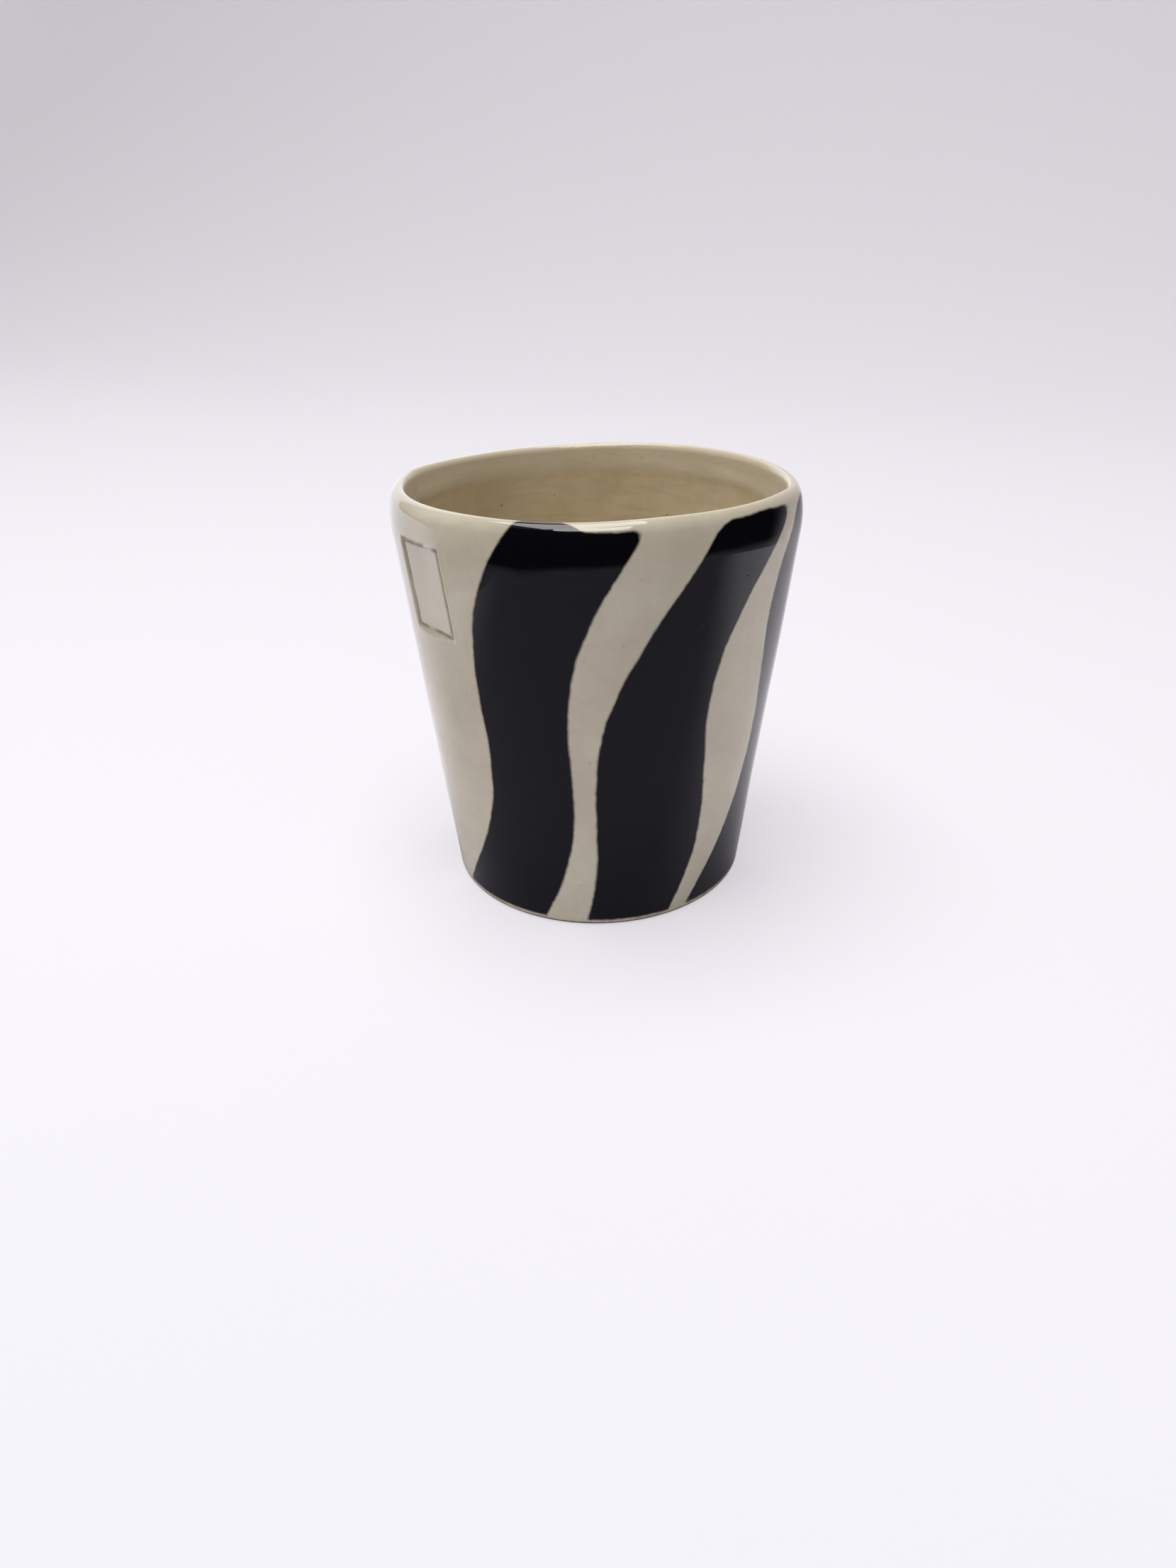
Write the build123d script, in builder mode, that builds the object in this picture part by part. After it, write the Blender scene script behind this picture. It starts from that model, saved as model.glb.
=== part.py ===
# A handmade drinking cup: a rolled clay wall that runs from a round foot to a squeezed, almond-shaped mouth and
# leans in over a soft shoulder, a floor disc let into it, a clay coil smoothed into the inner corner, and broad
# wave stripes of dark slip that fill shallow beds in the wall and lie flush with its face.
# Millimetres, +Z up. The origin is the centre of the flat underside, +X runs along the mouth's long axis,
# and the front is -Y.
from build123d import *
from math import atan2, cos, degrees, pi, radians, sin, sqrt
import os

# The cup: its mouth's length is what its straight ends would reach at the rim, without the shoulder, and the
# squeeze left the mouth less deep than long by mouth_narrowing
height = 92.0
base_diameter = 68.0
mouth_length = 91.8
mouth_narrowing = 8.6
mouth_end_radius = 13.5
foot_oval_share = 0.02
wall = 4.6
floor_thickness = 5.0
rim_rise_front = 1.9
rim_rise_right = 1.3
shoulder_drop = 7.0
shoulder_lean = 2.0
shoulder_radius = 20.0
lip_outer_radius = 1.8
lip_inner_radius = 0.9
foot_bevel = 0.7

# The coil in the inner corner
coil_size = 4.6
coil_land = 0.4
coil_hollow_share = 0.36

# The plain stamped panel in the wall's front left, turned a little on the wall
stamp_width = 15.0
stamp_length = 20.0
stamp_sink = 0.9
stamp_groove_width = 0.9
stamp_groove_depth = 0.35
stamp_corner = 0.8
stamp_height = 75.8
stamp_facing = 234.5
stamp_turn = 3.5

# The slip: how deep its beds are, the bare strips left above the foot and under the rim, and how many waves
# a stripe makes
slip_depth = 0.4
slip_foot_gap = 1.6
slip_lip_gap = 2.4
slip_overrun = 3.0
wave_share = 0.9

# Each stripe: its azimuth at the foot and at the lip, its half width at the foot and at the lip, how far it sways
# and swells, all in degrees round the cup, and where in its wave it starts
stripes = [
    (-117, -72, 18.5, 16.0, 9.0, 3.0, 0.05),
    (-69, -25, 16.0, 16.5, 8.5, -3.0, 0.18),
    (-21, 20, 16.0, 15.0, 8.5, 3.0, 0.02),
    (30, 65, 17.0, 17.0, 9.5, -3.0, 0.12),
    (84, 112, 18.0, 16.0, 8.5, 3.0, 0.22),
    (137, 156, 17.0, 15.5, 8.0, -3.0, 0.06),
    (190, 192, 17.0, 10.0, 7.5, 2.5, 0.15),
]
swell_lead_share = 0.3
edge_steps = 9

# The outline at any level is four arcs that run into each other: two long sides and two tight ends.
# The same four directions bound the arcs at every level, so each band of the wall is four plain cone pieces.
base_radius = base_diameter / 2
mouth_half_length = mouth_length / 2
mouth_half_depth = (mouth_length - mouth_narrowing) / 2
end_centre = mouth_half_length - mouth_end_radius
side_radius = (end_centre**2 + mouth_half_depth**2 - mouth_end_radius**2) / (2 * (mouth_half_depth - mouth_end_radius))
side_centre = side_radius - mouth_half_depth
corner_angle = degrees(atan2(side_centre, end_centre))
shoulder_height = height - shoulder_drop

mouth_plane = Plane(
    origin=(0, 0, height),
    x_dir=(mouth_half_length, 0, rim_rise_right),
    z_dir=(-rim_rise_right / mouth_half_length, rim_rise_front / mouth_half_depth, 1),
)
shoulder_plane = Plane(origin=(0, 0, shoulder_height), x_dir=mouth_plane.x_dir, z_dir=mouth_plane.z_dir)


def squeeze(share):
    """How far the outline has gone from a circle to the mouth's oval, a share of the way up."""
    return foot_oval_share + (1 - foot_oval_share) * share


def level_radii(share, inset):
    """The end arcs' and side arcs' radii a share of the way up, drawn in by inset."""
    end = base_radius + (mouth_end_radius - base_radius) * squeeze(share) - inset
    side = base_radius + (side_radius - base_radius) * squeeze(share) - inset
    return end, side


def level_centres(share):
    """How far the end arcs' and side arcs' centres lie from the axis a share of the way up."""
    return end_centre * squeeze(share), side_centre * squeeze(share)


def level_outline(share, inset):
    """The outline a share of the way up, drawn in by inset, as a flat sketch."""
    end, side = level_radii(share, inset)
    end_offset, side_offset = level_centres(share)
    end_span = 2 * corner_angle
    side_span = 180 - end_span
    with BuildSketch() as outline:
        with BuildLine():
            CenterArc((end_offset, 0), end, -corner_angle, end_span)
            CenterArc((0, -side_offset), side, corner_angle, side_span)
            CenterArc((-end_offset, 0), end, 180 - corner_angle, end_span)
            CenterArc((0, side_offset), side, 180 + corner_angle, side_span)
        make_face()
    return outline.sketch


def cavity_shape(inset):
    """The solid from the foot circle straight up to the mouth, its outline drawn in by inset."""
    with BuildPart() as body:
        with BuildSketch(Plane.XY):
            add(level_outline(0, inset))
        with BuildSketch(mouth_plane):
            add(level_outline(1, inset))
        loft(ruled=True)
    return body.part


def outer_shape(inset):
    """The solid from the foot circle to the mouth, whose top leans in over a soft shoulder."""
    with BuildPart() as body:
        with BuildSketch(Plane.XY):
            add(level_outline(0, inset))
        with BuildSketch(shoulder_plane):
            add(level_outline(shoulder_height / height, inset))
        with BuildSketch(mouth_plane):
            add(level_outline(1, inset + shoulder_lean))
        loft(ruled=True)
        shoulder_edges = body.edges().filter_by_position(
            Axis.Z, shoulder_height - rim_rise_front, shoulder_height + rim_rise_front
        )
        fillet(shoulder_edges, shoulder_radius)
    return body.part


def wall_reach(azimuth, share):
    """How far the outer wall stands from the cup's axis at an azimuth, a share of the way up."""
    side = level_radii(share, 0)[1]
    centre = level_centres(share)[1]
    return sqrt(side**2 - (centre * cos(radians(azimuth))) ** 2) - centre * abs(sin(radians(azimuth)))


def stripe_edges(stripe, share):
    """The two azimuths that bound a stripe a share of the way up."""
    foot, lip, foot_half, lip_half, sway, swell, start = stripe
    turn = 2 * pi * (wave_share * share + start)
    centre = foot + (lip - foot) * share + sway * sin(turn)
    half = foot_half + (lip_half - foot_half) * share + swell * sin(turn + 2 * pi * swell_lead_share)
    return centre - half, centre + half


outer_body = outer_shape(0)
cavity_body = cavity_shape(wall)
bed_body = outer_shape(slip_depth)

# Each stripe is drawn on an upright plane that faces it. Its cutter stands on the bed, from just above the foot
# to where the lip starts to round, and the slip fills the bed up to the wall's face.
low_share = (slip_foot_gap - slip_overrun) / height
high_share = (height + slip_overrun) / height
edge_shares = [low_share + (high_share - low_share) * step / edge_steps for step in range(edge_steps + 1)]
bed_cutters = []
slip_stripes = []
for number, stripe in enumerate(stripes, start=1):
    edges = [stripe_edges(stripe, share) for share in edge_shares]
    facing = (min(low for low, high in edges) + max(high for low, high in edges)) / 2
    out = Vector(cos(radians(facing)), sin(radians(facing)), 0)
    facing_plane = Plane(origin=(0, 0, 0), x_dir=(-out.Y, out.X, 0), z_dir=(out.X, out.Y, 0))
    sides = [
        [
            (wall_reach(pair[side], share) * sin(radians(pair[side] - facing)), share * height)
            for pair, share in zip(edges, edge_shares)
        ]
        for side in (0, 1)
    ]
    with BuildPart() as bed_cutter:
        with BuildSketch(facing_plane):
            with BuildLine():
                left = Spline(*sides[0])
                right = Spline(*sides[1])
                Line(left @ 0, right @ 0)
                Line(left @ 1, right @ 1)
            make_face()
        extrude(amount=mouth_half_length + slip_overrun)
        split(bisect_by=Plane.XY.offset(slip_foot_gap), keep=Keep.TOP)
        split(bisect_by=mouth_plane.offset(-slip_lip_gap), keep=Keep.BOTTOM)
        add(bed_body, mode=Mode.SUBTRACT)
    bed_cutters.append(bed_cutter.part)
    with BuildPart() as slip_stripe:
        add(bed_cutter.part)
        add(outer_body, mode=Mode.INTERSECT)
    slip_stripe.part.label = f"slip_stripe_{number}"
    slip_stripes.append(slip_stripe.part)

# The wall, with its full round lip, its bevelled foot and the beds that the stripes fill
with BuildPart() as cup_wall:
    add(outer_body)
    add(cavity_body, mode=Mode.SUBTRACT)
    lip_face = cup_wall.faces().filter_by(GeomType.PLANE).sort_by(Axis.Z)[-1]
    fillet(lip_face.outer_wire().edges(), lip_outer_radius)
    lip_face = cup_wall.faces().filter_by(GeomType.PLANE).sort_by(Axis.Z)[-1]
    fillet(lip_face.inner_wires()[0].edges(), lip_inner_radius)
    foot_edges = cup_wall.faces().sort_by(Axis.Z)[0].outer_wire().edges()
    chamfer(foot_edges, foot_bevel)
    add(bed_cutters, mode=Mode.SUBTRACT)

    # The panel is pressed flat into the round wall, with a deeper groove along its border
    stamp_share = stamp_height / height
    stamp_out = Vector(cos(radians(stamp_facing)), sin(radians(stamp_facing)), 0)
    stamp_centre = Vector(0, level_centres(stamp_share)[1], stamp_height)
    stamp_spot = stamp_centre + stamp_out * level_radii(stamp_share, 0)[1]
    stamp_slope = (side_radius - base_radius + side_centre * sin(radians(stamp_facing))) / height
    stamp_plane = Plane(
        origin=stamp_spot,
        x_dir=(-stamp_out.Y, stamp_out.X, 0),
        z_dir=(stamp_out.X, stamp_out.Y, -stamp_slope),
    )
    with BuildSketch(stamp_plane.offset(-stamp_sink)):
        RectangleRounded(stamp_width, stamp_length, stamp_corner, rotation=stamp_turn)
    extrude(amount=wall, mode=Mode.SUBTRACT)
    with BuildSketch(stamp_plane.offset(-stamp_sink - stamp_groove_depth)):
        RectangleRounded(stamp_width, stamp_length, stamp_corner, rotation=stamp_turn)
        Rectangle(
            stamp_width - 2 * stamp_groove_width,
            stamp_length - 2 * stamp_groove_width,
            rotation=stamp_turn,
            mode=Mode.SUBTRACT,
        )
    extrude(amount=wall, mode=Mode.SUBTRACT)
cup_wall.part.label = "cup_wall"

# The floor disc, let into the wall
with BuildPart() as cup_floor:
    add(cavity_body)
    split(bisect_by=Plane.XY.offset(floor_thickness), keep=Keep.BOTTOM)
cup_floor.part.label = "cup_floor"

# The coil's hollow face runs from the floor up to a narrow land on the wall
coil_levels = [
    (0, coil_size),
    (coil_size * coil_hollow_share, coil_size * coil_hollow_share),
    (coil_size, coil_land),
]
with BuildPart() as coil_hollow:
    for rise, stand_off in coil_levels:
        level = floor_thickness + rise
        with BuildSketch(Plane.XY.offset(level)):
            add(level_outline(level / height, wall + stand_off))
    loft()

with BuildPart() as floor_coil:
    add(cavity_body)
    split(bisect_by=Plane.XY.offset(floor_thickness), keep=Keep.TOP)
    split(bisect_by=Plane.XY.offset(floor_thickness + coil_size), keep=Keep.BOTTOM)
    add(coil_hollow.part, mode=Mode.SUBTRACT)
floor_coil.part.label = "floor_coil"

os.makedirs("parts", exist_ok=True)
for piece in (cup_wall.part, cup_floor.part, floor_coil.part, *slip_stripes):
    export_step(piece, f"parts/{piece.label}.step")
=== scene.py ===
import bpy
import bmesh
from math import atan2, copysign, cos, degrees, exp, hypot, pi, radians, sin
from mathutils import Matrix, Vector, noise


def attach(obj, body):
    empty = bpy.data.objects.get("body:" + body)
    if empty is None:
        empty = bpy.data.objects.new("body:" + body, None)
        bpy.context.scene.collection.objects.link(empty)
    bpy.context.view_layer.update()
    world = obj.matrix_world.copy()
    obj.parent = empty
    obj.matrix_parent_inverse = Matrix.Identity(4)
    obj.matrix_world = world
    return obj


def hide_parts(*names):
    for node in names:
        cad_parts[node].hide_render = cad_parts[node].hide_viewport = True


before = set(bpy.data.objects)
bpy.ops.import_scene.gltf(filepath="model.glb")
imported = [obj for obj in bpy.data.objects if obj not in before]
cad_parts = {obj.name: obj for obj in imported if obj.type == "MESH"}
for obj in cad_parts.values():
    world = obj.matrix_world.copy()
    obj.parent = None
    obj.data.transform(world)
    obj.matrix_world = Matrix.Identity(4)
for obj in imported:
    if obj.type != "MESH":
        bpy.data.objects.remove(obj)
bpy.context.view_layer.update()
print("frame loaded:", len(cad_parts), "solids")

mm = 0.001

# Main sizes of the cup: a round foot, a mouth squeezed to an almond, a rim that rises to the front and right,
# and a shoulder over which the top of the wall leans in
cup = {
    "height": 92 * mm,
    "footDiameter": 68 * mm,
    "mouthLength": 91.8 * mm,
    "mouthDepth": 83.2 * mm,
    "mouthEndRadius": 13.5 * mm,
    "footOvalShare": 0.02,
    "wall": 4.6 * mm,
    "floorThickness": 5 * mm,
    "rimRiseFront": 1.9 * mm,
    "rimRiseRight": 1.3 * mm,
    "shoulderDrop": 9 * mm,
    "shoulderLean": 2 * mm,
    "stepsAround": 320,
    "wavesFrom": 3 * mm,
    "wavesTo": 22 * mm,
    "weldReach": 0.002 * mm,
}

# How unevenly the clay was rolled and pressed: each wave's length along the wall and its depth
clayWaves = [(42 * mm, 0.2 * mm), (13 * mm, 0.035 * mm), (6 * mm, 0.018 * mm)]
rimWave = {"length": 30 * mm, "height": 0.35 * mm, "fromShare": 0.6}

# The stripes of slip: azimuth at foot and lip, half width at foot and lip, sway and swell, all in degrees
# round the cup, and where in its wave each stripe starts
slip = {
    "stripes": [
        (-117, -72, 18.5, 16.0, 9.0, 3.0, 0.05),
        (-69, -25, 16.0, 16.5, 8.5, -3.0, 0.18),
        (-21, 20, 16.0, 15.0, 8.5, 3.0, 0.02),
        (30, 65, 17.0, 17.0, 9.5, -3.0, 0.12),
        (84, 112, 18.0, 16.0, 8.5, 3.0, 0.22),
        (137, 156, 17.0, 15.5, 8.0, -3.0, 0.06),
        (190, 192, 17.0, 10.0, 7.5, 2.5, 0.15),
    ],
    "waveShare": 0.9,
    "swellLeadShare": 0.3,
    "footGap": 1.3 * mm,
    "lipGap": 4.8 * mm,
    "crestInset": 3.6 * mm,
    "dippedFacing": -98,
    "dippedFrom": 0.91,
    "dippedTo": 0.97,
    "dippedReach": 5.2 * mm,
    "brushWave": 7 * mm,
    "brushShake": 0.25 * mm,
    "tipRadius": 3.5 * mm,
    "insideSlope": 4,
}

footRadius = cup["footDiameter"] / 2
halfLength = cup["mouthLength"] / 2
halfDepth = cup["mouthDepth"] / 2
endRadius = cup["mouthEndRadius"]
endCentre = halfLength - endRadius
sideRadius = (endCentre**2 + halfDepth**2 - endRadius**2) / (2 * (halfDepth - endRadius))
sideCentre = sideRadius - halfDepth
cornerAngle = atan2(sideCentre, endCentre)


def easeIn(value, low, high):
    # 0 below low, 1 above high, and a soft S between
    share = min(1, max(0, (value - low) / (high - low)))
    return share * share * (3 - 2 * share)


def outlinePoint(direction, squeeze, inset):
    # the outline's point that looks in a direction: two long sides and two tight ends, squeezed from a circle
    if abs(sin(direction)) < sin(cornerAngle):
        centre = Vector((copysign(endCentre, cos(direction)) * squeeze, 0, 0))
        radius = footRadius + (endRadius - footRadius) * squeeze - inset
    else:
        centre = Vector((0, -copysign(sideCentre, sin(direction)) * squeeze, 0))
        radius = footRadius + (sideRadius - footRadius) * squeeze - inset
    return centre + radius * Vector((cos(direction), sin(direction), 0))


def wallPoint(direction, share, inset):
    # a point on a straight line from foot to rim, drawn in from the outer face by inset
    foot = outlinePoint(direction, cup["footOvalShare"], inset)
    rim = outlinePoint(direction, 1, inset)
    rim.z = cup["height"]
    rim.z += cup["rimRiseRight"] * rim.x / halfLength
    rim.z -= cup["rimRiseFront"] * rim.y / halfDepth
    return foot.lerp(rim, share)


def clearSelection():
    if bpy.context.mode != "OBJECT":
        bpy.ops.object.mode_set(mode="OBJECT")
    bpy.ops.object.select_all(action="DESELECT")


def pick(piece, kind, test):
    # selects the vertices, edges or faces whose middle passes the test
    bpy.ops.mesh.select_all(action="DESELECT")
    bpy.ops.mesh.select_mode(type=kind)
    mesh = bmesh.from_edit_mesh(piece.data)
    parts = {"VERT": mesh.verts, "EDGE": mesh.edges, "FACE": mesh.faces}[kind]
    for part in parts:
        corners = [part.co] if kind == "VERT" else [corner.co for corner in part.verts]
        part.select = test(sum(corners, Vector()) / len(corners), corners)
    mesh.select_flush_mode()
    bmesh.update_edit_mesh(piece.data)


def newSection(name, inner, outer, low, high):
    # an upright rectangle through the cup's axis, ready to be shaped and spun
    clearSelection()
    middle = ((inner + outer) / 2, 0, (low + high) / 2)
    bpy.ops.mesh.primitive_plane_add(size=1, location=middle, rotation=(pi / 2, 0, 0))
    piece = bpy.context.object
    piece.name = name
    piece.data.name = name
    piece.scale = (outer - inner, high - low, 1)
    bpy.ops.object.transform_apply(location=True, rotation=True, scale=True)
    bpy.ops.object.mode_set(mode="EDIT")
    return piece


def spinSection(steps):
    # turns the section's outline once round the axis into a closed solid
    bpy.ops.mesh.select_all(action="SELECT")
    bpy.ops.mesh.delete(type="ONLY_FACE")
    bpy.ops.mesh.select_all(action="SELECT")
    bpy.ops.mesh.spin(steps=steps, angle=2 * pi, center=(0, 0, 0), axis=(0, 0, 1))
    bpy.ops.mesh.select_all(action="SELECT")
    bpy.ops.mesh.remove_doubles(threshold=cup["weldReach"])
    bpy.ops.mesh.normals_make_consistent(inside=False)


def pressRound(piece, snap=0.02 * mm):
    # presses the round piece into the cup's shape and notes how deep in the wall each vertex lies
    insets = []
    for vertex in piece.data.vertices:
        direction = atan2(vertex.co.y, vertex.co.x)
        inset = footRadius - hypot(vertex.co.x, vertex.co.y)
        inset = 0 if abs(inset) < snap else inset
        inset = cup["wall"] if abs(inset - cup["wall"]) < snap else inset
        share = vertex.co.z / cup["height"]
        overShoulder = max(0, 1 - (cup["height"] - vertex.co.z) / cup["shoulderDrop"])
        lean = cup["shoulderLean"] * overShoulder**2 * max(0, 1 - inset / cup["wall"])
        place = wallPoint(direction, share, inset + lean)
        outward = Vector((cos(direction), sin(direction), 0))
        swell = sum(depth * noise.noise(place / length) for length, depth in clayWaves)
        place += outward * swell * easeIn(place.z, cup["wavesFrom"], cup["wavesTo"])
        around = outward * halfLength / rimWave["length"]
        place.z += rimWave["height"] * noise.noise(around) * easeIn(share, rimWave["fromShare"], 1)
        vertex.co = place
        insets.append(min(inset, cup["wall"]) / cup["wall"])
    return insets


def keepOnMesh(piece, name, values):
    layer = piece.data.attributes.new(name, "FLOAT", "POINT")
    layer.data.foreach_set("value", values)


def finishPiece(piece, slot, *nodes):
    clearSelection()
    piece.select_set(True)
    bpy.context.view_layer.objects.active = piece
    bpy.ops.object.shade_smooth()
    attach(piece, "root")
    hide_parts(*nodes)
    print("made", piece.name, "with", len(piece.data.polygons), "faces")


# The wall: its section is a tall thin rectangle with a full round lip and a bevelled foot
wallSection = {
    "lipOuter": 2.4 * mm,
    "lipInner": 1.5 * mm,
    "lipSegments": 8,
    "footBevel": 0.7 * mm,
    "footSegments": 3,
    "outerCuts": 100,
    "innerCuts": 62,
    "longEdgeReach": 9 * mm,
}

# The plain stamped panel in the wall's front left, where the surface is cut finer
stamp = {
    "facing": radians(234.5),
    "height": 75.8 * mm,
    "turn": radians(3.5),
    "width": 15 * mm,
    "length": 20 * mm,
    "corner": 0.8 * mm,
    "sink": 0.9 * mm,
    "grooveWidth": 1.3 * mm,
    "grooveDepth": 0.55 * mm,
    "edgeSoft": 0.34 * mm,
    "ridge": 0.09 * mm,
    "unevenWave": 4.5 * mm,
    "unevenDepth": 0.12 * mm,
    "brokenWave": 3.5 * mm,
    "brokenLeast": 0.15,
    "brokenMiddle": 0.75,
    "brokenSwing": 1.1,
    "ridgeAway": 1.5,
    "poolLeast": 0.04,
    "margin": 1.6 * mm,
    "cuts": 3,
    "faceReach": 0.1 * mm,
}

# A faint ridge inside, where the slab was pressed down to make the rim
innerRidge = {
    "drop": 6.5 * mm,
    "width": 0.9 * mm,
    "height": 0.3 * mm,
    "reach": 4,
    "insideFrom": 0.99,
    "brokenMiddle": 0.6,
    "brokenSwing": 0.8,
}


def makeStampFrame():
    share = stamp["height"] / cup["height"]
    squeeze = cup["footOvalShare"] + (1 - cup["footOvalShare"]) * share
    out = Vector((cos(stamp["facing"]), sin(stamp["facing"]), 0))
    spot = outlinePoint(stamp["facing"], squeeze, 0)
    spot.z = stamp["height"]
    slope = (sideRadius - footRadius + sideCentre * out.y) / cup["height"]
    normal = Vector((out.x, out.y, -slope)).normalized()
    level = Vector((-out.y, out.x, 0))
    upright = normal.cross(level)
    across = cos(stamp["turn"]) * level + sin(stamp["turn"]) * upright
    return spot, normal, across, normal.cross(across)


def stampDistance(u, v):
    # distance to the panel's rounded outline, negative inside
    overU = abs(u) - stamp["width"] / 2 + stamp["corner"]
    overV = abs(v) - stamp["length"] / 2 + stamp["corner"]
    outside = hypot(max(overU, 0), max(overV, 0))
    return outside + min(max(overU, overV), 0) - stamp["corner"]


def pressStamp(piece, insets):
    # pushes the clay in to a flat panel with a groove round its border, and notes where glaze pools and where
    # the groove's shade is painted
    spot, normal, across, upward = makeStampFrame()
    pools = []
    for vertex, inset in zip(piece.data.vertices, insets):
        away = vertex.co - spot
        u, v, level = away.dot(across), away.dot(upward), away.dot(normal)
        distance = stampDistance(u, v)
        near = inset < 0.5 and abs(level) < stamp["width"] and distance < stamp["margin"]
        poolAndShade = 0
        if near:
            pressed = 1 - easeIn(distance, -stamp["edgeSoft"], stamp["edgeSoft"])
            along = min(1, max(0, -distance / stamp["grooveWidth"]))
            wander = noise.noise(vertex.co / stamp["brokenWave"])
            broken = min(1, max(stamp["brokenLeast"], stamp["brokenMiddle"] + stamp["brokenSwing"] * wander))
            groove = sin(pi * along) ** 2 * broken
            floorLevel = -stamp["sink"] - stamp["grooveDepth"] * groove
            floorLevel += stamp["unevenDepth"] * noise.noise(vertex.co / stamp["unevenWave"])
            ridge = stamp["ridge"] * exp(-((distance / stamp["edgeSoft"] - stamp["ridgeAway"]) ** 2))
            vertex.co += normal * ((floorLevel - level) * pressed + ridge)
            # the panel and its groove darken with pooled glaze and painted shade
            poolAndShade = pressed * (stamp["poolLeast"] + (1 - stamp["poolLeast"]) * groove)
        pools.append(poolAndShade)
    return pools


def roundCorner(first, second, radius):
    # the smaller of two distances to edges, with the corner between them rounded
    if min(first, second) > radius:
        return min(first, second)
    return radius - hypot(max(0, radius - first), max(0, radius - second))


def slipReach(place, inset, height):
    # how far inside the nearest stripe a point lies, negative on bare clay
    share = height / cup["height"]
    azimuth = degrees(atan2(place.y, place.x))
    inside = -1.0
    for foot, lip, footHalf, lipHalf, sway, swell, start in slip["stripes"]:
        turn = 2 * pi * (slip["waveShare"] * share + start)
        centre = foot + (lip - foot) * share + sway * sin(turn)
        half = footHalf + (lipHalf - footHalf) * share + swell * sin(turn + 2 * pi * slip["swellLeadShare"])
        away = abs((azimuth - centre + 180) % 360 - 180)
        inside = max(inside, radians(half - away) * hypot(place.x, place.y))
    shake = slip["brushShake"] * noise.noise(place / slip["brushWave"])
    footEdge = place.z - slip["footGap"]

    # the stripes stop under the lip, but for one at the front that was dipped up to the lip's crest
    belowCrest = cup["height"] - height + slip["crestInset"] - inset
    dipped = easeIn(cos(radians(azimuth - slip["dippedFacing"])), slip["dippedFrom"], slip["dippedTo"])
    lipEdge = belowCrest - slip["lipGap"] + slip["dippedReach"] * dipped
    if inset > slip["crestInset"]:
        lipEdge = slip["crestInset"] - slip["insideSlope"] * inset
    return min(roundCorner(inside + shake, lipEdge + 2 * shake, slip["tipRadius"]), footEdge)


def makeWall():
    height, wall = cup["height"], cup["wall"]
    inner = footRadius - wall
    piece = newSection("cupWall", inner, footRadius, 0, height)
    for side, offset in ((footRadius, wallSection["lipOuter"]), (inner, wallSection["lipInner"])):
        pick(piece, "VERT", lambda middle, corners: middle.z > height - mm and abs(middle.x - side) < mm)
        bpy.ops.mesh.bevel(offset=offset, segments=wallSection["lipSegments"], affect="VERTICES")
    offset, segments = wallSection["footBevel"], wallSection["footSegments"]
    pick(piece, "VERT", lambda middle, corners: middle.z < mm and middle.x > footRadius - mm)
    bpy.ops.mesh.bevel(offset=offset, segments=segments, affect="VERTICES")

    def onLongEdge(middle, side):
        # the long edge of one side is the only one whose middle is near half height
        return abs(middle.x - side) < mm and abs(middle.z - height / 2) < wallSection["longEdgeReach"]

    for side, cuts in ((footRadius, wallSection["outerCuts"]), (inner, wallSection["innerCuts"])):
        pick(piece, "EDGE", lambda middle, corners: onLongEdge(middle, side))
        bpy.ops.mesh.subdivide(number_cuts=cuts)
    spinSection(cup["stepsAround"])

    # the outer face round the panel is cut finer
    reach = (stamp["width"] / 2 + 2 * stamp["margin"]) / sideRadius
    tall = stamp["length"] / 2 + 2 * stamp["margin"]

    def nearStamp(middle, corners):
        turn = (atan2(middle.y, middle.x) - stamp["facing"] + pi) % (2 * pi) - pi
        onFace = hypot(middle.x, middle.y) > footRadius - stamp["faceReach"]
        return onFace and abs(turn) < reach and abs(middle.z - stamp["height"]) < tall

    pick(piece, "FACE", nearStamp)
    bpy.ops.mesh.subdivide(number_cuts=stamp["cuts"])
    bpy.ops.object.mode_set(mode="OBJECT")
    heights = [vertex.co.z for vertex in piece.data.vertices]
    insets = pressRound(piece)
    pools = pressStamp(piece, insets)
    for vertex, inset in zip(piece.data.vertices, insets):
        drop = (height - innerRidge["drop"] - vertex.co.z) / innerRidge["width"]
        if inset > innerRidge["insideFrom"] and abs(drop) < innerRidge["reach"]:
            inward = -Vector((vertex.co.x, vertex.co.y, 0)).normalized()
            wander = noise.noise(vertex.co / rimWave["length"] * 2)
            broken = innerRidge["brokenMiddle"] + innerRidge["brokenSwing"] * wander
            vertex.co += inward * innerRidge["height"] * exp(-(drop**2)) * max(0, broken)
    keepOnMesh(piece, "inset", insets)
    keepOnMesh(piece, "poolAndShade", pools)
    keepOnMesh(piece, "drop", [(height - level) / mm for level in heights])
    keepOnMesh(piece, "slip", [
        slipReach(vertex.co, inset * wall, level) / mm
        for vertex, inset, level in zip(piece.data.vertices, insets, heights)
    ])
    stripeNodes = [f"slip_stripe_{n + 1}" for n in range(len(slip["stripes"]))]
    finishPiece(piece, "glazed_clay", "cup_wall", *stripeNodes)
    return piece


# The floor: a disc let into the wall, a little dished on top
floorDisc = {
    "seam": 0.25 * mm,
    "rings": 24,
    "stepsAround": 160,
    "dish": 0.35 * mm,
    "hollow": 0.3 * mm,
    "rest": 24 * mm,
    "plainReach": 10 * mm,
    "unevenWave": 9 * mm,
    "unevenShare": 0.5,
    "axisReach": 0.01 * mm,
    "faceReach": 0.1 * mm,
}


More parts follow.
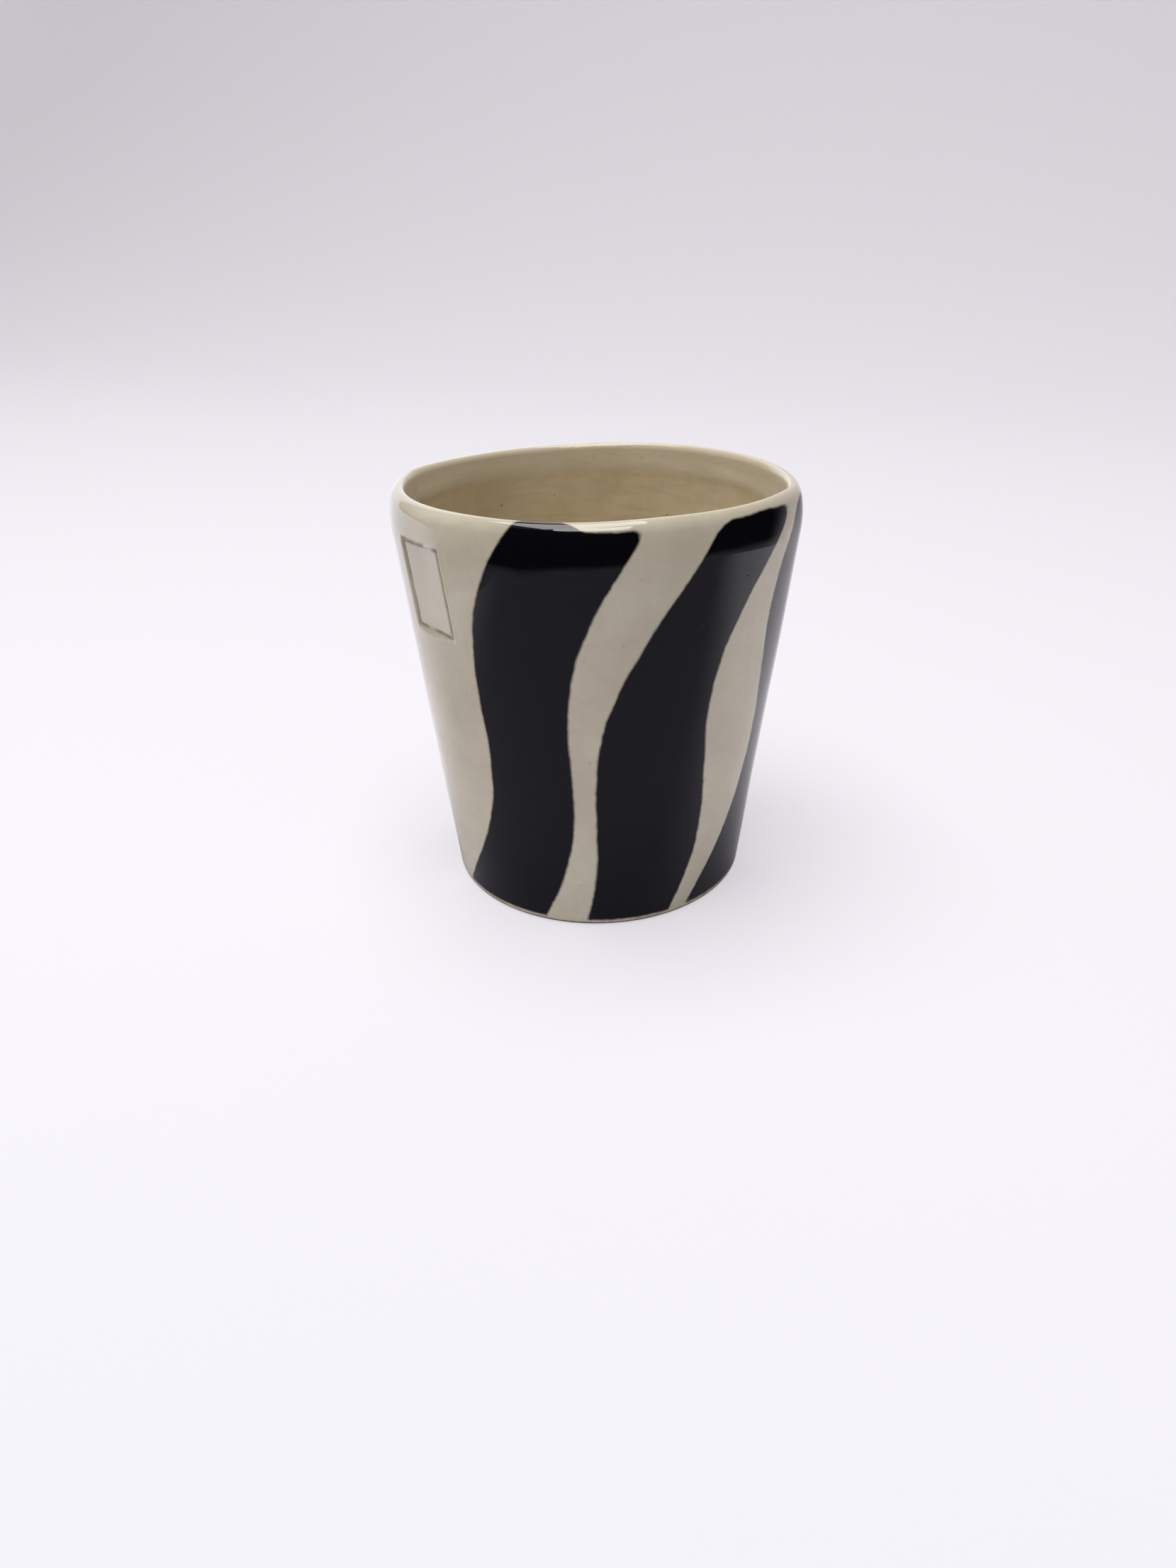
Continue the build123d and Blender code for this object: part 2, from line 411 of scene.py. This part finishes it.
def makeFloor():
    outer = footRadius - cup["wall"]
    thick = cup["floorThickness"]
    piece = newSection("cupFloor", 0, outer, 0, thick)
    pick(piece, "VERT", lambda middle, corners: middle.x > outer - mm)
    bpy.ops.mesh.bevel(offset=floorDisc["seam"], segments=2, affect="VERTICES")

    # top and bottom are cut one after the other: cut together, they would be joined by walls inside the disc
    for side in (0, thick):
        pick(piece, "EDGE", lambda middle, corners: mm < middle.x < outer - mm and abs(middle.z - side) < mm)
        bpy.ops.mesh.subdivide(number_cuts=floorDisc["rings"])
    pick(piece, "EDGE", lambda middle, corners: middle.x < floorDisc["axisReach"])
    bpy.ops.mesh.delete(type="EDGE")
    spinSection(floorDisc["stepsAround"])
    bpy.ops.object.mode_set(mode="OBJECT")
    for vertex in piece.data.vertices:
        reach = hypot(vertex.co.x, vertex.co.y) / floorDisc["rest"]
        bowl = max(0, 1 - reach * reach)
        uneven = floorDisc["unevenShare"] * noise.noise(vertex.co / floorDisc["unevenWave"])
        if vertex.co.z > thick - floorDisc["faceReach"]:
            vertex.co.z -= floorDisc["dish"] * (bowl + uneven * bowl)
        elif vertex.co.z < floorDisc["faceReach"]:
            vertex.co.z += floorDisc["hollow"] * min(1, 2 * bowl) * (1 + uneven)
    unpressed = [vertex.co.copy() for vertex in piece.data.vertices]
    insets = pressRound(piece)

    # pressing would pinch the disc's middle, which is left round
    for vertex, start in zip(piece.data.vertices, unpressed):
        pressed = easeIn(hypot(start.x, start.y), 0, floorDisc["plainReach"])
        vertex.co = start.lerp(vertex.co, pressed)
    keepOnMesh(piece, "inset", insets)
    finishPiece(piece, "floor_clay", "cup_floor")
    return piece


# The coil in the inner corner, smoothed with a wet finger to a hollow curve
coil = {
    "size": 4.6 * mm,
    "hollowShare": 0.97,
    "hollowProfile": 0.09,
    "hollowSegments": 10,
    "stepsAround": 240,
    "fingerWave": 8 * mm,
    "fingerDepth": 0.18 * mm,
    "fingerSlope": 4,
}


def makeCoil():
    outer = footRadius - cup["wall"]
    low = cup["floorThickness"]
    size = coil["size"]
    piece = newSection("floorCoil", outer - size, outer, low, low + size)
    pick(piece, "VERT", lambda middle, corners: middle.x < outer - mm and middle.z > low + mm)
    bpy.ops.mesh.bevel(
        offset=size * coil["hollowShare"], segments=coil["hollowSegments"],
        profile=coil["hollowProfile"], affect="VERTICES",
    )
    spinSection(coil["stepsAround"])
    bpy.ops.object.mode_set(mode="OBJECT")
    for vertex in piece.data.vertices:
        out = Vector((vertex.co.x, vertex.co.y, 0))
        depth = (footRadius - cup["wall"] - out.length) / size
        rise = (vertex.co.z - low) / size
        free = min(1, coil["fingerSlope"] * depth) * min(1, coil["fingerSlope"] * rise)
        mark = noise.noise(vertex.co / coil["fingerWave"])
        vertex.co += out.normalized() * coil["fingerDepth"] * free * mark
    insets = pressRound(piece)
    keepOnMesh(piece, "inset", insets)
    finishPiece(piece, "glazed_clay", "floor_coil")
    return piece


cupWall = makeWall()
cupFloor = makeFloor()
floorCoil = makeCoil()


# The materials are built from nodes, with these few helpers
def newMaterial(name):
    material = bpy.data.materials.new(name)
    material.use_nodes = True
    material.node_tree.nodes.clear()
    return material, material.node_tree


def addNode(tree, kind, inputs=None, **settings):
    # a node with its settings; an input is a value, or another node's output to link
    node = tree.nodes.new("ShaderNode" + kind)
    for key, value in settings.items():
        setattr(node, key, value)
    for key, value in (inputs or {}).items():
        if isinstance(value, bpy.types.NodeSocket):
            tree.links.new(value, node.inputs[key])
        else:
            node.inputs[key].default_value = value
    return node


def mixColours(tree, factor, first, second):
    node = addNode(tree, "Mix", data_type="RGBA")
    for key, value in ((0, factor), (6, first), (7, second)):
        if isinstance(value, bpy.types.NodeSocket):
            tree.links.new(value, node.inputs[key])
        else:
            node.inputs[key].default_value = value if key == 0 else (*value, 1)
    return node.outputs[2]


def mixShaders(tree, factor, first, second):
    node = addNode(tree, "MixShader", {"Fac": factor})
    tree.links.new(first, node.inputs[1])
    tree.links.new(second, node.inputs[2])
    return node.outputs[0]


def calculate(tree, operation, first, second=0.0, clamp=False):
    node = addNode(tree, "Math", operation=operation, use_clamp=clamp)
    for key, value in ((0, first), (1, second)):
        if isinstance(value, bpy.types.NodeSocket):
            tree.links.new(value, node.inputs[key])
        else:
            node.inputs[key].default_value = value
    return node.outputs[0]


def ramp(tree, value, low, high, start=0.0, end=1.0):
    # a soft step of a value between two limits
    node = addNode(tree, "MapRange", {
        "Value": value, "From Min": low, "From Max": high, "To Min": start, "To Max": end,
    }, interpolation_type="SMOOTHSTEP")
    return node.outputs[0]


def cloud(tree, place, size, detail=3.0):
    # soft noise with features of a real size in metres
    node = addNode(tree, "TexNoise", {"Vector": place, "Scale": 1 / size, "Detail": detail})
    return node.outputs["Fac"]


def specks(tree, place, spacing, radiusShare, keepShare):
    # sparse round dots with a soft edge: one cell in a few holds a dot
    node = addNode(tree, "TexVoronoi", {"Vector": place, "Scale": 1 / spacing})
    dot = ramp(tree, node.outputs["Distance"], radiusShare * 1.3, radiusShare * 0.5)
    chance = addNode(tree, "SeparateColor", {"Color": node.outputs["Color"]}).outputs[0]
    kept = calculate(tree, "LESS_THAN", chance, keepShare)
    return calculate(tree, "MULTIPLY", dot, kept)


# The glaze's colours, sizes and depths. A ramp is its two limits, and then the shares at them if not 0 and 1
glaze = {
    "cream": (0.75, 0.7, 0.56),
    "creamDeepAndShade": (0.50, 0.447, 0.335),
    "creamInsideShaded": (0.7, 0.6, 0.41),
    "creamInsideShadedDeep": (0.58, 0.48, 0.31),
    "ink": (0.0033, 0.003, 0.0047),
    "poolAndShade": (0.15, 0.1, 0.06),
    "speck": (0.22, 0.16, 0.10),
    "bare": (0.34, 0.225, 0.135),
    "bareDeep": (0.26, 0.165, 0.095),
    "insideRamp": (0.45, 0.95),
    "cloudSize": 22 * mm,
    "cloudRamp": (0.2, 0.8),
    "mottleSize": 1.6 * mm,
    "mottleRamp": (0.35, 0.75, 0, 0.05),
    "speckSpacing": 3.4 * mm,
    "speckRadius": 0.1,
    "speckKept": 0.22,
    "speckShareOutside": 0.25,
    "speckShareInside": 0.7,
    "pitSpacing": 3.4 * mm,
    "pitRadius": 0.07,
    "pitKept": 0.35,
    "rippleSize": 9 * mm,
    "rippleDepth": 0.03 * mm,
    "skinSize": 1.4 * mm,
    "skinDepth": 0.001 * mm,
    "pitDepth": 0.04 * mm,
    "poolShare": 0.62,
    "edgeSoft": 0.42,
    "edgeBleed": 0.5,
    # painted shade on the outer glaze: full above the first height, none below the second
    "paintedShadeFullFrom": 66 * mm,
    "paintedShadeNoneBelow": 8 * mm,
    "insideCloudSize": 14 * mm,
    "insideCloudRamp": (0.35, 0.7),
    "streakAndShade": (0.45, 0.36, 0.22),
    "streakSize": 9 * mm,
    "streakFlatness": 7,
    "streakRamp": (0.42, 0.75, 0, 0.35),
    "streakDepth": 0.025 * mm,
    "shadedEndRamp": (-14 * mm, -40 * mm, 0, 0.5),
    "rimPaintedSheen": (0.68, 0.62, 0.48),
    "rimPaintedSheenRamp": (8.2, 6.4, 0, 0.55),
    "rimPaintedSheenWander": 1.5,
    "rimGrainSize": 0.8 * mm,
    "rimGrainDepth": 0.1 * mm,
    "bareHeight": 0.75 * mm,
    "bareSoft": 0.3 * mm,
    "bareWander": 0.35 * mm,
    "bareRamp": (0.35, 0.65),
    "roughness": 0.035,
    "roughnessInside": 0.12,
    "roughnessBare": 0.85,
}


def makeGlazedClay(withSlip):
    material, tree = newMaterial("glazedClay" if withSlip else "glazedClayPlain")
    place = addNode(tree, "TexCoord").outputs["Object"]
    axes = addNode(tree, "SeparateXYZ", {"Vector": place}).outputs
    height = axes["Z"]
    inset = addNode(tree, "Attribute", attribute_name="inset").outputs["Fac"]
    mottle = cloud(tree, place, glaze["mottleSize"], 4)
    inside = ramp(tree, inset, *glaze["insideRamp"])

    # the glaze over buff clay, deeper in colour at random where it lies thick, and painted shade deepens it
    # towards the top
    tone = ramp(tree, cloud(tree, place, glaze["cloudSize"]), *glaze["cloudRamp"])
    paintedShade = ramp(tree, height, glaze["paintedShadeNoneBelow"], glaze["paintedShadeFullFrom"])
    tone = calculate(tree, "MULTIPLY", calculate(tree, "ADD", tone, paintedShade), 0.5)
    colour = mixColours(tree, tone, glaze["cream"], glaze["creamDeepAndShade"])
    # inside, the same glaze is painted darker and warmer as painted shade and warm bounce light, with deeper
    # patches at random
    deep = ramp(tree, cloud(tree, place, glaze["insideCloudSize"], 4), *glaze["insideCloudRamp"])
    insideTone = mixColours(tree, deep, glaze["creamInsideShaded"], glaze["creamInsideShadedDeep"])

    # inside, level streaks from the rib that smoothed the clay
    flat = (1, 1, glaze["streakFlatness"])
    level = addNode(tree, "VectorMath", {0: place, 1: flat}, operation="MULTIPLY").outputs[0]
    streaks = calculate(tree, "MULTIPLY", cloud(tree, level, glaze["streakSize"], 6), inside)
    insideTone = mixColours(tree, ramp(tree, streaks, *glaze["streakRamp"]), insideTone, glaze["streakAndShade"])

    # and painted shade darkens the inside of the left end, where the mouth was squeezed
    thick = ramp(tree, axes["X"], *glaze["shadedEndRamp"])
    insideTone = mixColours(tree, thick, insideTone, glaze["streakAndShade"])
    colour = mixColours(tree, inside, colour, insideTone)
    grain = ramp(tree, mottle, *glaze["mottleRamp"])
    colour = mixColours(tree, grain, colour, glaze["poolAndShade"])
    dots = specks(tree, place, glaze["speckSpacing"], glaze["speckRadius"], glaze["speckKept"])
    strength = ramp(tree, inside, 0, 1, glaze["speckShareOutside"], glaze["speckShareInside"])
    colour = mixColours(tree, calculate(tree, "MULTIPLY", dots, strength), colour, glaze["speck"])

    rimGrain = 0.0
    if withSlip:
        # inside, a slightly paler band from the rim down over the ridge is a painted reflection
        drop = addNode(tree, "Attribute", attribute_name="drop").outputs["Fac"]
        uneven = calculate(tree, "ADD", drop, calculate(tree, "MULTIPLY", mottle, glaze["rimPaintedSheenWander"]))
        band = calculate(tree, "MULTIPLY", ramp(tree, uneven, *glaze["rimPaintedSheenRamp"]), inside)
        colour = mixColours(tree, band, colour, glaze["rimPaintedSheen"])
        grit = cloud(tree, place, glaze["rimGrainSize"], 2)
        grit = calculate(tree, "MULTIPLY", grit, glaze["rimGrainDepth"])
        rimGrain = calculate(tree, "MULTIPLY", grit, band)

        # the panel's groove is painted dark, partly as glaze that pools there and partly as painted shade
        poolAndShade = addNode(tree, "Attribute", attribute_name="poolAndShade").outputs["Fac"]
        pooledAndShaded = calculate(tree, "MULTIPLY", poolAndShade, glaze["poolShare"])
        colour = mixColours(tree, pooledAndShaded, colour, glaze["poolAndShade"])

        # and the slip bleeds a little at its edges
        reach = addNode(tree, "Attribute", attribute_name="slip").outputs["Fac"]
        bleed = calculate(tree, "MULTIPLY", calculate(tree, "SUBTRACT", mottle, 0.5), glaze["edgeBleed"])
        reach = calculate(tree, "ADD", reach, bleed)
        covered = ramp(tree, reach, -glaze["edgeSoft"], glaze["edgeSoft"])
        colour = mixColours(tree, covered, colour, glaze["ink"])

    # bare clay under the foot
    line = calculate(tree, "ADD", height, calculate(tree, "MULTIPLY", mottle, -glaze["bareWander"]))
    bare = ramp(tree, line, glaze["bareHeight"], glaze["bareHeight"] - glaze["bareSoft"])
    bareTone = mixColours(tree, ramp(tree, mottle, *glaze["bareRamp"]), glaze["bare"], glaze["bareDeep"])
    colour = mixColours(tree, bare, colour, bareTone)

    wet = addNode(tree, "MapRange", {
        "Value": inside, "To Min": glaze["roughness"], "To Max": glaze["roughnessInside"],
    }).outputs[0]
    rough = addNode(tree, "MapRange", {
        "Value": bare, "To Min": wet, "To Max": glaze["roughnessBare"],
    }).outputs[0]

    # ripples, a fine skin and pinholes in the glaze
    ripple = calculate(tree, "MULTIPLY", cloud(tree, place, glaze["rippleSize"], 2), glaze["rippleDepth"])
    skin = calculate(tree, "MULTIPLY", cloud(tree, place, glaze["skinSize"], 2), glaze["skinDepth"])
    pits = specks(tree, place, glaze["pitSpacing"], glaze["pitRadius"], glaze["pitKept"])
    pits = calculate(tree, "MULTIPLY", pits, -glaze["pitDepth"])
    ribbed = calculate(tree, "MULTIPLY", streaks, glaze["streakDepth"])
    smooth = calculate(tree, "ADD", ripple, skin)
    marked = calculate(tree, "ADD", pits, ribbed)
    surface = calculate(tree, "ADD", calculate(tree, "ADD", smooth, marked), rimGrain)
    bump = addNode(tree, "Bump", {"Height": surface, "Strength": 1.0, "Distance": 1.0}).outputs[0]

    shader = addNode(tree, "BsdfPrincipled", {
        "Base Color": colour,
        "Roughness": rough,
        "Normal": bump,
        "IOR": 1.5,
        "Specular IOR Level": 0.5,
    })
    addNode(tree, "OutputMaterial", {"Surface": shader.outputs[0]})
    return material


cupWall.data.materials.clear()
cupWall.data.materials.append(makeGlazedClay(True))
plainGlaze = makeGlazedClay(False)
for piece in (cupFloor, floorCoil):
    piece.data.materials.clear()
    piece.data.materials.append(plainGlaze)
print("glazes made")


# The studio: a pale sweep, a large soft lamp overhead and a soft window light. Only reflections see a dark
# curtain round the front, a pale window over it, shade on the floor in front and window light at the left
floorSweep = {
    "size": 3.2,
    "drop": 0.05 * mm,
    "back": 1.0,
    "height": 1.5,
    "round": 0.5,
    "roundSegments": 16,
    "colour": (0.93, 0.915, 0.97),
    # painted light on the backdrop, from bright near the front to dim up the back
    "backdropTones": [
        (0.0, (0.86, 0.85, 0.92)),
        (0.12, (0.93, 0.90, 0.955)),
        (0.42, (0.81, 0.785, 0.83)),
        (0.68, (0.68, 0.66, 0.70)),
        (1.0, (0.59, 0.56, 0.60)),
    ],
    "tonesRamp": (-0.17, 1.25),
    "paleShare": 0.6,
    "fadeRamp": (1.2, 1.6),
    "shadeTone": (0.25, 0.24, 0.29),
    "shadeRamp": (0.03, -0.045),
    "shadeLeftRamp": (-0.2, -0.09),
    "brightTone": (1.12, 1.19, 1.32),
    "brightRamp": (-0.12, -0.28),
}


def makeSweep():
    clearSelection()
    half = floorSweep["size"] / 2
    middle = (0, floorSweep["back"] - half, -floorSweep["drop"])
    bpy.ops.mesh.primitive_plane_add(size=floorSweep["size"], location=middle)
    sweep = bpy.context.object
    sweep.name = "studioSweep"
    bpy.ops.object.transform_apply(location=True, rotation=True, scale=True)
    bpy.ops.object.mode_set(mode="EDIT")
    back = floorSweep["back"] - mm
    pick(sweep, "EDGE", lambda middle, corners: middle.y > back)
    bpy.ops.mesh.extrude_region_move(TRANSFORM_OT_translate={"value": (0, 0, floorSweep["height"])})
    pick(sweep, "EDGE", lambda middle, corners: middle.y > back and middle.z < mm)
    bpy.ops.mesh.bevel(offset=floorSweep["round"], segments=floorSweep["roundSegments"])
    bpy.ops.object.mode_set(mode="OBJECT")
    bpy.ops.object.shade_smooth()
    material, tree = newMaterial("paleSweep")
    place = addNode(tree, "TexCoord").outputs["Object"]
    along = addNode(tree, "SeparateXYZ", {"Vector": place}).outputs
    paths = addNode(tree, "LightPath").outputs

    # lit as a plain pale floor, and in reflections shaded at the front
    shade = ramp(tree, along["Y"], *floorSweep["shadeRamp"])
    near = ramp(tree, along["X"], *floorSweep["shadeLeftRamp"])
    shade = calculate(tree, "MULTIPLY", shade, near)
    seen = mixColours(tree, shade, floorSweep["colour"], floorSweep["shadeTone"])
    colour = mixColours(tree, paths["Is Glossy Ray"], floorSweep["colour"], seen)
    lit = addNode(tree, "BsdfDiffuse", {"Color": colour}).outputs[0]

    # reflections also see window light lying on the floor at the left
    bright = ramp(tree, along["X"], *floorSweep["brightRamp"])
    patch = addNode(tree, "Emission", {"Color": (*floorSweep["brightTone"], 1)})
    lit = mixShaders(tree, calculate(tree, "MULTIPLY", bright, paths["Is Glossy Ray"]), lit, patch.outputs[0])

    # the camera sees it paler, with painted light that runs from bright at the front to darker up the back
    far = calculate(tree, "ADD", along["Y"], along["Z"])
    low, high = floorSweep["tonesRamp"]
    far = addNode(tree, "MapRange", {"Value": far, "From Min": low, "From Max": high})
    tones = addNode(tree, "ValToRGB", {"Fac": far.outputs[0]})
    tones.color_ramp.interpolation = "B_SPLINE"
    points = tones.color_ramp.elements
    while len(points) < len(floorSweep["backdropTones"]):
        points.new(0.5)
    for point, (position, tone) in zip(points, floorSweep["backdropTones"]):
        point.position = position
        point.color = (*tone, 1)

    # and its rim fades into the colour of the air round it
    level = addNode(tree, "CombineXYZ", {"X": along["X"], "Y": along["Y"]}).outputs[0]
    reach = addNode(tree, "VectorMath", {"Vector": level}, operation="LENGTH").outputs["Value"]
    rim = ramp(tree, reach, *floorSweep["fadeRamp"])
    faded = mixColours(tree, rim, tones.outputs[0], air["colour"])
    glow = addNode(tree, "Emission", {"Color": faded})
    pale = calculate(tree, "MAXIMUM", rim, floorSweep["paleShare"])
    pale = calculate(tree, "MULTIPLY", paths["Is Camera Ray"], pale)
    addNode(tree, "OutputMaterial", {"Surface": mixShaders(tree, pale, lit, glow.outputs[0])})
    sweep.data.materials.append(material)


def showOnlyInReflections(thing):
    thing.visible_camera = False
    thing.visible_diffuse = False
    thing.visible_shadow = False
    thing.visible_transmission = False


# A ring of black cloth, open at the back: its two ends and how far they fade are in degrees round its middle
darkCurtain = {
    "middle": 25 * mm,
    "radius": 0.208,
    "height": 0.3,
    "steps": 180,
    "from": 184,
    "to": 409,
    "fade": 26,
    "tone": 0.003,
    "hemTone": 0.36,
    "hemHeight": 30 * mm,
    "hemWave": 100 * mm,
    "hemRagged": 18 * mm,
    "foldWave": 60 * mm,
    "foldDepth": 12 * mm,
}


def makeDarkCurtain():
    clearSelection()
    tall = darkCurtain["height"]
    bpy.ops.mesh.primitive_cylinder_add(
        vertices=darkCurtain["steps"], radius=darkCurtain["radius"], depth=tall,
        end_fill_type="NOTHING", location=(darkCurtain["middle"], 0, tall / 2),
    )
    curtain = bpy.context.object
    curtain.name = "darkCurtain"
    bpy.ops.object.transform_apply(location=True, rotation=True, scale=True)
    bpy.ops.object.mode_set(mode="EDIT")
    middleFacing = (darkCurtain["from"] + darkCurtain["to"]) / 2
    reach = (darkCurtain["to"] - darkCurtain["from"]) / 2

    def awayFromMiddle(place):
        facing = degrees(atan2(place.y, place.x - darkCurtain["middle"]))
        return abs((facing - middleFacing + 180) % 360 - 180)

    pick(curtain, "FACE", lambda middle, corners: awayFromMiddle(middle) > reach)
    bpy.ops.mesh.delete(type="FACE")
    bpy.ops.object.mode_set(mode="OBJECT")
    for vertex in curtain.data.vertices:
        out = Vector((vertex.co.x - darkCurtain["middle"], vertex.co.y, 0))
        fold = noise.noise(out / darkCurtain["foldWave"])
        vertex.co += out.normalized() * darkCurtain["foldDepth"] * fold
    fromEnd = [reach - awayFromMiddle(vertex.co) for vertex in curtain.data.vertices]
    keepOnMesh(curtain, "solid", [angle / darkCurtain["fade"] for angle in fromEnd])

    # black cloth, with a hem that fades unevenly into the shaded floor
    material, tree = newMaterial("darkCloth")
    place = addNode(tree, "TexCoord").outputs["Object"]
    ragged = cloud(tree, place, darkCurtain["hemWave"], 1)
    ragged = calculate(tree, "MULTIPLY", ragged, darkCurtain["hemRagged"])
    rise = addNode(tree, "SeparateXYZ", {"Vector": place}).outputs["Z"]
    ragged = calculate(tree, "SUBTRACT", ragged, darkCurtain["hemRagged"] / 2)
    rise = calculate(tree, "SUBTRACT", rise, ragged)
    hem = ramp(tree, rise, darkCurtain["hemHeight"], 0)
    cloth = mixColours(tree, hem, (darkCurtain["tone"],) * 3, (darkCurtain["hemTone"],) * 3)
    shader = addNode(tree, "BsdfDiffuse", {"Color": cloth})

    # its two ends thin out to nothing
    solid = ramp(tree, addNode(tree, "Attribute", attribute_name="solid").outputs["Fac"], 0, 1)
    clear = addNode(tree, "BsdfTransparent").outputs[0]
    addNode(tree, "OutputMaterial", {"Surface": mixShaders(tree, solid, clear, shader.outputs[0])})
    curtain.data.materials.append(material)
    showOnlyInReflections(curtain)


# A pale window over the curtain, which only reflections see and which lights nothing
brightCard = {"place": (0.1, -0.53, 0.82), "size": (0.5, 0.4), "tone": (7.5, 7.4, 7.0)}


def makeBrightCard():
    clearSelection()
    bpy.ops.mesh.primitive_plane_add(size=1)
    card = bpy.context.object
    card.name = "brightCard"
    place = Vector(brightCard["place"])
    aim = Vector((0, 0, cup["height"])) - place
    turned = aim.to_track_quat("Z", "Y").to_matrix()
    for vertex in card.data.vertices:
        flat = Vector((vertex.co.x * brightCard["size"][0], vertex.co.y * brightCard["size"][1], 0))
        vertex.co = place + turned @ flat
    material, tree = newMaterial("paleWindow")
    glow = addNode(tree, "Emission", {"Color": (*brightCard["tone"], 1)})
    addNode(tree, "OutputMaterial", {"Surface": glow.outputs[0]})
    card.data.materials.append(material)
    showOnlyInReflections(card)


# What lights the cup: sizes in metres, powers in watts
lamps = {
    "overheadLamp": {"place": (-0.12, -0.07, 1.0), "size": 0.7, "power": 9.6, "colour": (1.0, 0.985, 0.96)},
    "windowLamp": {"place": (-0.95, -0.1, 0.45), "size": 0.7, "power": 0.4, "colour": (0.93, 0.96, 1.0)},
}


def addSoftLamp(name, place, size, power, colour):
    # a square soft lamp that looks at the cup's middle
    lamp = bpy.data.lights.new(name, "AREA")
    lamp.size = size
    lamp.energy = power
    lamp.color = colour
    holder = bpy.data.objects.new(name, lamp)
    bpy.context.scene.collection.objects.link(holder)
    holder.location = place
    aim = Vector((0, 0, cup["height"] / 2)) - Vector(place)
    holder.rotation_mode = "QUATERNION"
    holder.rotation_quaternion = aim.to_track_quat("-Z", "Y")


# The air round the studio, dimmer as light than as background
air = {"strength": 0.3, "colour": (0.80, 0.78, 0.83)}


def makeWorld():
    world = bpy.data.worlds.new("studioAir")
    bpy.context.scene.world = world
    world.use_nodes = True
    tree = world.node_tree
    tree.nodes.clear()
    seen = addNode(tree, "LightPath").outputs["Is Camera Ray"]
    strength = addNode(tree, "MapRange", {
        "Value": seen, "To Min": air["strength"], "To Max": 1.0,
    }).outputs[0]
    glow = addNode(tree, "Background", {"Color": (*air["colour"], 1), "Strength": strength})
    addNode(tree, "OutputWorld", {"Surface": glow.outputs[0]})


makeSweep()
makeDarkCurtain()
makeBrightCard()
for lampName, settings in lamps.items():
    addSoftLamp(lampName, **settings)
makeWorld()
print("studio made")

# The camera: in front of the cup and above it, looking down, for a frame 2212 pixels tall
view = {
    "place": (-2.36 * mm, -249.67 * mm, 158.97 * mm),
    "pitch": radians(29.595),
    "roll": radians(-1.297),
    "turn": radians(19),
    "focalPixels": 1662,
    "frameHeight": 2212,
    "sensor": 36,
    "nearest": 10 * mm,
}


def makeCamera():
    data = bpy.data.cameras.new("photoCamera")
    data.sensor_width = view["sensor"]
    data.lens = view["focalPixels"] / view["frameHeight"] * view["sensor"]
    data.clip_start = view["nearest"]
    camera = bpy.data.objects.new("photoCamera", data)
    bpy.context.scene.collection.objects.link(camera)
    forward = Vector((0, cos(view["pitch"]), -sin(view["pitch"])))
    level = Vector((1, 0, 0))
    upright = level.cross(forward)
    right = cos(view["roll"]) * level + sin(view["roll"]) * upright
    up = cos(view["roll"]) * upright - sin(view["roll"]) * level
    stand = Matrix((right, up, -forward)).transposed().to_4x4()
    stand.translation = Vector(view["place"])
    camera.matrix_world = Matrix.Rotation(view["turn"], 4, "Z") @ stand
    bpy.context.scene.camera = camera


makeCamera()
bpy.context.scene.view_settings.view_transform = "Standard"
print("camera placed")

clearSelection()
